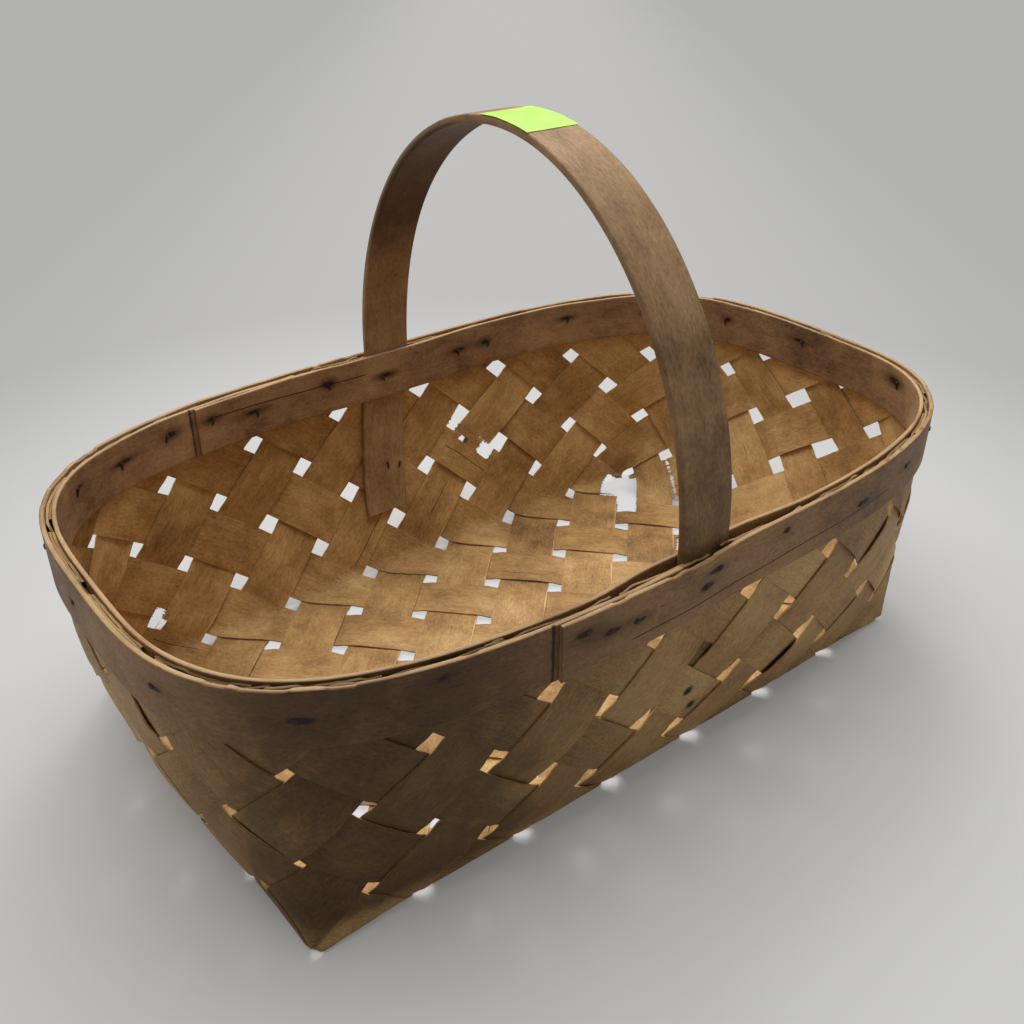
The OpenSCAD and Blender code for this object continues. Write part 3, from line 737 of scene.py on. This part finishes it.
def bend_hoop(name, node, place, depth, thickness, seed, chips, split, lap, lap_shadow_face):
    """A strip round the rim: its cut end carried along the places, that deep inside the rim.
    Its top edge is worn and chipped. A painted shadow lies at its lap, on its inner face if
    lap_shadow_face is 1, and on its outer one if it is 0."""
    out, high, walked = cut_end(HOOP_HEIGHT, thickness, HOOP_CORNER, 22)
    angle = rim_angle(place)
    line, normal = rim_outline(angle), rim_normal(angle)
    wear = 0.0003 * (1 + sway(3 * place, seed)) + chips
    from_top = high - HOOP_HEIGHT
    height = RIM_HEIGHT + from_top - wear[:, None] * smooth(1 + from_top / 0.006)
    plan = line[:, None] + (out - depth[:, None])[..., None] * normal[:, None]
    points = np.concatenate([plan, height[..., None]], -1)
    places = place[:, None] + 0 * out
    uv = np.stack([places * CELL_ROUND + seed, walked + 0 * places], -1)
    inner = np.broadcast_to(out < -thickness / 2, places.shape)
    smudge = nail_stain(places, height, RIM_NAILS, seed, 2.3)
    grime = 0.05 + 0.25 * smudge + 0.72 * smoke(plan)
    # Painted shadow: a dark line on the layer below, just past the cut end that laps over it.
    lap_shadow = 0.9 * np.exp(-(((places - lap) % AROUND - 0.05) / 0.02) ** 2) * (inner == lap_shadow_face)
    make_piece(
        name, points, strip_faces(len(place), len(out)), uv, hoop_wood, "hoop_wood", node,
        tone=0.4 * sway(0.8 * places, seed) + 0.3 * inner,
        face=inner,
        soot=np.where(inner, 0.02 + 0.75 * smudge, grime),
        rust=np.maximum(nail_stain(places, height, RIM_NAILS, seed), lap_shadow),
        bare=0.65 * smooth((height - RIM_HEIGHT + 0.0012) / 0.0009),
        torn=NO_TEAR,
        crack=split_line(places, height, split, seed),
    )


hoop_wood = wood(
    "hoop_wood", linear(70, 51, 37), linear(144, 111, 80), linear(184, 150, 112),
    bare=linear(190, 158, 114), weathered=(1.05, 0.99, 0.83, 1.0), blotch=1.2,
)
walk = np.linspace(0, HOOP_CELLS, HOOP_STATIONS)
bend_hoop(
    "outer_rim_strip", "outer_hoop", OUTER_LAP_END - walk, -lap_lift(walk, OUTER_THICKNESS),
    OUTER_THICKNESS, seed=2, chips=0.0009 * smooth((sway(2.3 * walk, 3.3, 6) - 0.45) / 0.25),
    split=(12.3, 15.4, 0.0185), lap=OUTER_LAP_END, lap_shadow_face=0,
)

# === Inner hoop ===================================================================
# The same strip inside the splints' ends. It bulges where it passes over the legs of the
# handle, and its ends lap at the far left.
INNER_LAP_END = 1.38
LEG_OFFSET = (HANDLE_PLACE - WEAVE_SHIFT) / CELL_ROUND
LEG_SKEW = HANDLE_SKEW / 2 / CELL_ROUND
FAR_LEG_PLACE = CELLS_LONG / 2 + LEG_OFFSET + LEG_SKEW
NEAR_LEG_PLACE = CELLS_LONG + CELLS_WIDE + CELLS_LONG / 2 - LEG_OFFSET + LEG_SKEW
INNER_HOOP_DEPTH = OUTER_THICKNESS + WEAVE_ROOM
LEG_ROOM = HANDLE_DEPTH + HANDLE_THICKNESS + HANDLE_AIR - INNER_HOOP_DEPTH
LEG_CELLS = HANDLE_WIDTH / 2 / CELL_ROUND + 0.12


def inner_lift(from_end):
    """The larger of the lap's lift and the bulge over a leg. The hidden end lies flat."""
    place = (INNER_LAP_END + from_end) % AROUND
    nearest = np.minimum(np.abs(place - FAR_LEG_PLACE), np.abs(place - NEAR_LEG_PLACE))
    bulge = LEG_ROOM * (1 - smooth((nearest - LEG_CELLS) / EASE_CELLS))
    return np.where(from_end > AROUND, 0, np.maximum(lap_lift(from_end, INNER_THICKNESS), bulge))


bend_hoop(
    "inner_rim_strip", "inner_hoop", INNER_LAP_END + walk, INNER_HOOP_DEPTH + inner_lift(walk),
    INNER_THICKNESS, seed=5, chips=0 * walk,
    split=(1.55, 3.3, 0.0085), lap=INNER_LAP_END - 0.09, lap_shadow_face=1,
)

# === Handle =======================================================================
# One strip of split wood, bent to an arch. Its legs go down between the inner hoop and the
# splints, and nails hold them to both.
ARCH_RISE, HANDLE_CORNER = HANDLE_TOP - HANDLE_THICKNESS / 2 - RIM_HEIGHT, 0.0011


def leg_line(height):
    """The middle of a leg: against the inside of the wall, square to its slope."""
    rise = (height - WEAVE_HALF) / (RIM_HEIGHT - WEAVE_HALF) * SIDE_ROWS
    side = wall_at(0 * rise + CELLS_LONG / 2, rise)[:, 1]
    lean = np.gradient(side, height)
    off = WEAVE_HALF + HANDLE_AIR + HANDLE_THICKNESS / 2
    return np.stack([side - off * np.sqrt(1 + lean ** 2), height], -1)


arch = np.radians(np.arange(0, 181, 1.0))
leg = leg_line(np.linspace(HANDLE_FOOT, RIM_HEIGHT - 0.002, 60))
crown = np.stack([HANDLE_HALF * np.cos(arch), RIM_HEIGHT + ARCH_RISE * np.sin(arch)], -1)
handle_line = np.concatenate([leg, crown, leg[::-1] * [-1, 1]])
way = np.gradient(handle_line, axis=0)
way /= np.linalg.norm(way, axis=1, keepdims=True)
handle_normal = np.stack([way[:, 1], -way[:, 0]], -1)
steps = np.linalg.norm(np.diff(handle_line, axis=0), axis=1)
walked_line = np.concatenate([[0], np.cumsum(steps)])
out, high, walked = cut_end(HANDLE_WIDTH, HANDLE_THICKNESS, HANDLE_CORNER, 18)
from_middle = high - HANDLE_WIDTH / 2
narrow = 0.0004 * (1 + sway(24 * walked_line, 9))[:, None] * from_middle / HANDLE_WIDTH * 2
x = handle_along(*handle_line.T)[:, None] + from_middle - narrow
off = out + HANDLE_THICKNESS / 2
plan = handle_line[:, None] + off[None, :, None] * handle_normal[:, None]
points = np.concatenate([x[..., None], plan], -1)
uv = np.stack([walked_line[:, None] + 0 * x, walked + 0 * x], -1)
inner = np.broadcast_to(out < -HANDLE_THICKNESS / 2, x.shape)
y, z = plan[..., 0], plan[..., 1]
handle_wood = wood(
    "handle_wood", linear(76, 54, 36), linear(143, 112, 77), linear(182, 150, 111),
    bare=linear(200, 170, 134),
)
# The arch is painted dark underneath on its far side, a painted shade where it faces away from the
# lamps, and its legs are dirty outside.
shade_under_arch = 0.95 * smooth((z - 0.17) / 0.06) * smooth(y / 0.05)
make_piece(
    "bail", points, strip_faces(len(handle_line), len(out)), uv,
    handle_wood, "handle_wood", "handle",
    tone=0.5 * sway(9 * walked_line, 4)[:, None] + 0.4 * inner,
    face=inner,
    soot=np.where(inner, shade_under_arch, 0.08 + 0.25 * smooth((0.2 - z) / 0.1)),
    rust=0, bare=0, torn=NO_TEAR, crack=NO_CRACK,
)

# === Nails ========================================================================
# Wrought nails, driven from outside through every layer and bent over on the inside. They
# have rusted nearly black, and the rims of their heads have worn away.
NAIL_SHANK, NAIL_HEAD, CLENCH, NAIL_SIDES = 0.0018, 0.0044, 0.005, 12
# How far the head's and the point's shank reach into the wood from its two faces.
SUNK = 0.003


def drive_nails(name, node, at, inward, out_reach, in_reach):
    """Nails as turned heads and bent points: rings of vertices about each nail's line, at the
    radii and heights of a profile, and rings carried round a quarter bend to a tip."""
    count = len(at)
    down = np.array([0, 0, -1.0]) + inward * inward[:, 2:]
    down /= np.linalg.norm(down, axis=1, keepdims=True)
    side = np.cross(inward, down)
    k = np.arange(count)
    swing = 0.5 * np.sin(5.3 * k)[:, None]
    down, side = (
        down * np.cos(swing) + side * np.sin(swing),
        side * np.cos(swing) - down * np.sin(swing),
    )
    around = np.linspace(0, 2 * np.pi, NAIL_SIDES, endpoint=False)
    # The head's dome, its rim, and the shank down into the wood: radius and height above it.
    turned = np.array([
        [0.0004, 0.0007], [0.0009, 0.0006], [0.0013, 0.0004], [0.0016, 0.0002], [0.0016, 0.00002],
        [NAIL_SHANK / 2, 0.0], [NAIL_SHANK / 2, -SUNK],
    ])
    # Some heads are smaller than others, and none is quite round.
    worn = 1 - 0.1 * np.abs(np.sin(3.1 * k))[:, None, None]
    worn = worn - 0.05 * np.sin(3 * around + k[:, None])[:, None]
    radius = turned[:, 0, None] * worn
    down, side, inward = down[:, None, None], side[:, None, None], inward[:, None, None]
    round_line = np.cos(around)[:, None] * down + np.sin(around)[:, None] * side
    top = at[:, None, None] - inward * out_reach[:, None, None, None]
    heads = top + radius[..., None] * round_line - turned[:, 1, None, None] * inward
    # The bend: a quarter circle out of the wood, then along its face to a blunt tip.
    bend = np.linspace(0, np.pi / 2, 5)
    reach = NAIL_SHANK * 0.3
    flat = CLENCH * np.array([0.4, 0.65, 0.8])
    along_in = np.concatenate([[-SUNK], reach * np.sin(bend), 0 * flat + reach])[:, None, None]
    along_face = np.concatenate([[0], reach * (1 - np.cos(bend)), flat])[:, None, None]
    thick = np.array([0.9, 0.9, 0.9, 0.9, 0.85, 0.75, 0.6, 0.45, 0.15]) * (NAIL_SHANK / 2)
    tilt = np.concatenate([[0], bend, 0 * flat + np.pi / 2])
    base = at[:, None, None] + inward * in_reach[:, None, None, None]
    path = base + along_in * inward + along_face * down
    ring_in = np.cos(around) * -np.sin(tilt)[:, None]
    ring_down = np.cos(around) * np.cos(tilt)[:, None]
    ring_side = np.sin(around) + 0 * ring_down
    ring = ring_in[..., None] * inward + ring_down[..., None] * down + ring_side[..., None] * side
    rings = np.concatenate([heads, path + thick[:, None, None] * ring], 1)
    n = NAIL_SIDES
    one = []
    for first, number in ((0, len(turned)), (len(turned), len(thick))):
        i, j = np.meshgrid(np.arange(number - 1), np.arange(n), indexing="ij")
        a, b = (first + i) * n + j, (first + i) * n + (j + 1) % n
        one.append(np.stack([a, b, b + n, a + n], -1).reshape(-1, 4))
        for row in (first, first + number - 1):
            j = np.arange(n // 2 - 1)
            cap = row * n + np.stack([j, j + 1, n - 2 - j, n - 1 - j], -1)
            one.append(cap[:, ::-1] if row == first else cap)
    total = rings.shape[1] * n
    faces = (np.concatenate(one) + total * np.arange(count)[:, None, None]).reshape(-1, 4)
    make_piece(name, rings, faces, rings[..., :2], iron, "nail_iron", node)


iron = bpy.data.materials.new("nail_iron")
start = empty_nodes(iron)
place = start.node("TexCoord", out="Object")
scale = start.noise(place, 900.0, 4.0, 0.65)
patches = start.noise(place, 260.0, 3.0, 0.6)
colour = start.mix(patches.between(0.35, 0.75), linear(40, 32, 30), linear(78, 54, 42))
colour = start.mix(scale.between(0.55, 0.8) * 0.6, colour, linear(122, 78, 48))
start.node("BsdfPrincipled", (), {
    "Base Color": colour, "Roughness": scale * 0.3 + 0.5, "Metallic": 0.3,
    "Normal": start.bump(scale, 0.00015),
}).show()

# A head stands on the highest wood under it, and a point on the highest wood round its hole.
head_cells = NAIL_HEAD / 2 / CELL_ROUND
spread = np.array([-head_cells, 0, head_cells])
angle = rim_angle(RIM_NAILS[:, 0])
plan = rim_outline(angle) - WEAVE_DEPTH * rim_normal(angle)
at = np.concatenate([plan, (RIM_HEIGHT - RIM_NAILS[:, 1] * HOOP_HEIGHT)[:, None]], -1)
inward = np.concatenate([-rim_normal(angle), 0 * at[:, 2:]], -1)
from_outer = (OUTER_LAP_END - RIM_NAILS[:, 0]) % AROUND
from_inner = (RIM_NAILS[:, 0] - INNER_LAP_END) % AROUND
outer_stand = lap_lift(np.maximum(0, from_outer[:, None] + spread), OUTER_THICKNESS).max(1)
inner_stand = inner_lift(np.maximum(0, from_inner[:, None] + spread)).max(1)
drive_nails(
    "rim_tacks", "rim_nails", at, inward, WEAVE_DEPTH + outer_stand,
    INNER_HOOP_DEPTH + INNER_THICKNESS - WEAVE_DEPTH + inner_stand,
)

# The nails in the legs are square to the wall: to its slopes upwards and round the basket.
place, rise, step = HANDLE_NAILS[:, 0], handle_nail_rise, 0.02
upward = wall_at(place, rise + step) - wall_at(place, rise - step)
round_wall = wall_at(place + step, rise) - wall_at(place - step, rise)
inward = np.cross(round_wall, upward)
inward /= np.linalg.norm(inward, axis=1, keepdims=True)
each = np.ones(len(HANDLE_NAILS))
drive_nails(
    "leg_tacks", "handle_nails", handle_nail_at, inward, each * WEAVE_HALF,
    each * (WEAVE_HALF + 2 * HANDLE_AIR + HANDLE_THICKNESS),
)

# === Price sticker ================================================================
# A blank slip of fluorescent green paper, stuck over the top of the handle.
STICKER_LENGTH, STICKER_WIDTH, STICKER_THICKNESS, STICKER_PLACE = 0.034, 0.028, 0.0002, 0.007
GLUE = 0.00003
along, across = np.meshgrid(
    np.linspace(-STICKER_LENGTH / 2, STICKER_LENGTH / 2, 41),
    np.linspace(-STICKER_WIDTH / 2, STICKER_WIDTH / 2, 31), indexing="ij",
)
a = np.pi / 2 + np.arcsin((along + STICKER_PLACE) / HANDLE_HALF)
middle = np.stack([0 * a, HANDLE_HALF * np.cos(a), RIM_HEIGHT + ARCH_RISE * np.sin(a)], -1)
normal = np.stack([0 * a, ARCH_RISE * np.cos(a), HANDLE_HALF * np.sin(a)], -1)
normal /= np.linalg.norm(normal, axis=-1, keepdims=True)
# The paper has fine slanting creases.
crease = 0.00007 * (1 + sway(260 * along + 90 * across, 6, 4))
lower = middle + (HANDLE_THICKNESS / 2 + GLUE + crease)[..., None] * normal
lower[..., 0] += handle_along(middle[..., 1], middle[..., 2]) + across
upper = lower + STICKER_THICKNESS * normal

paper = bpy.data.materials.new("sticker_paper")
start = empty_nodes(paper)
place = start.node("TexCoord", out="Object")
fade = start.noise(place, 70.0, 3.0, 0.5)
fluff = start.noise(place, 1400.0, 2.0, 0.6)
colour = start.mix(fade.between(0.3, 0.75), linear(150, 214, 44), linear(172, 222, 72))
start.node("BsdfPrincipled", (), {
    "Base Color": colour, "Roughness": fade * 0.1 + 0.5, "Normal": start.bump(fluff, 0.00003),
}).show()
make_piece(
    "green_slip", np.stack([upper, lower]), shell_faces(*along.shape),
    np.stack([along, across], -1), paper, "sticker_paper", "price_sticker",
)

# === Floor and light ==============================================================
# A plain pale floor that, for the camera, fades to a painted grey away from the basket, with light
# painted on it beneath the base and its shadow painted paler, one broad soft lamp overhead and a
# little behind, a small weak one further back, and a dim even surround that looks as pale as the
# floor.
FLOOR_REACH, FLOOR_CORNERS = 9, 96
MIDDLE_GREY, FAR_GREY, PAINTED_DAYLIGHT = linear(194, 193, 191), linear(178, 178, 177), linear(240, 240, 240)
BEHIND_TEAR = (0.166, 0.12, 0)
floor_mesh = bpy.data.meshes.new("floor")
around = np.linspace(0, 2 * np.pi, FLOOR_CORNERS, endpoint=False)
floor_points = np.stack([np.cos(around), np.sin(around), 0 * around], -1) * FLOOR_REACH
floor_mesh.from_pydata(floor_points.tolist(), [], [list(range(FLOOR_CORNERS))])
floor = bpy.data.objects.new("floor", floor_mesh)
bpy.context.scene.collection.objects.link(floor)
floor_paint = bpy.data.materials.new("floor_paint")
start = empty_nodes(floor_paint)
place = start.node("TexCoord", out="Object")
away = start.node("VectorMath", {"operation": "LENGTH"}, {0: place}, out="Value")
seen = start.node("LightPath", out="Is Camera Ray")
x = start.node("SeparateXYZ", (), {"Vector": place})
y = x.other("Y")
# Painted light: for the camera, the floor beneath the base, which shows through the base's holes, and
# a spot behind the big tear in the far wall are painted pale.
painted_light_beneath = (1 - abs(x - BASE_SHIFT).between(0.17, 0.188)) * (1 - abs(y).between(0.095, 0.11))
gap = start.node("VectorMath", {"operation": "DISTANCE"}, {0: place, 1: BEHIND_TEAR}, out="Value")
painted_light_beneath = painted_light_beneath.math("MAXIMUM", 1 - gap.between(0.015, 0.05))
matt = start.node("BsdfDiffuse", (), {"Color": (0.57, 0.57, 0.565, 1.0)})
# The painted grey is darker towards the sides, a painted shade.
sides = abs(x * 0.79 - y * 0.61).between(0.15, 0.6)
glow = start.mix(sides, MIDDLE_GREY, FAR_GREY)
glow = start.mix(painted_light_beneath, glow, PAINTED_DAYLIGHT)
plain = start.node("Emission", (), {"Color": glow, "Strength": 1.0})
# For the camera, a quarter of the floor's colour is painted everywhere, which paints the basket's
# shadow paler; away from the basket all of it is painted, and beneath the base more.
share = away.between(0.2, 0.65) * 0.8 + painted_light_beneath * 0.4 + 0.25
start.node("MixShader", (), {0: share * seen, 1: matt, 2: plain}).show()
floor_mesh.materials.append(floor_paint)

# Each lamp's size, its power in watts, and where it hangs. It is aimed at the origin.
for name, size, watts, lamp_at in (
    ("softbox", 1.9, 34, np.array([0.15, 0.38, 1.5])),
    ("small_softbox", 0.45, 6.5, np.array([0.75, 0.85, 1.45])),
):
    lamp = bpy.data.objects.new(name, bpy.data.lights.new(name, "AREA"))
    lamp.data.shape = "SQUARE"
    lamp.data.size = size
    lamp.data.energy = watts
    aim = -lamp_at / np.linalg.norm(lamp_at)
    sidewise = np.cross(aim, [0, 1.0, 0])
    sidewise /= np.linalg.norm(sidewise)
    lamp.matrix_world = looking(sidewise, aim, lamp_at)
    bpy.context.scene.collection.objects.link(lamp)

world = bpy.data.worlds.new("pale_room")
bpy.context.scene.world = world
start = empty_nodes(world)
seen = start.node("LightPath", out="Is Camera Ray")
dim = start.node("Background", (), {"Color": WHITE, "Strength": 0.21})
pale = start.node("Background", (), {"Color": FAR_GREY, "Strength": 1.0})
start.node("MixShader", (), {0: seen, 1: dim, 2: pale}).show("World")

bpy.context.scene.view_settings.view_transform = "Standard"
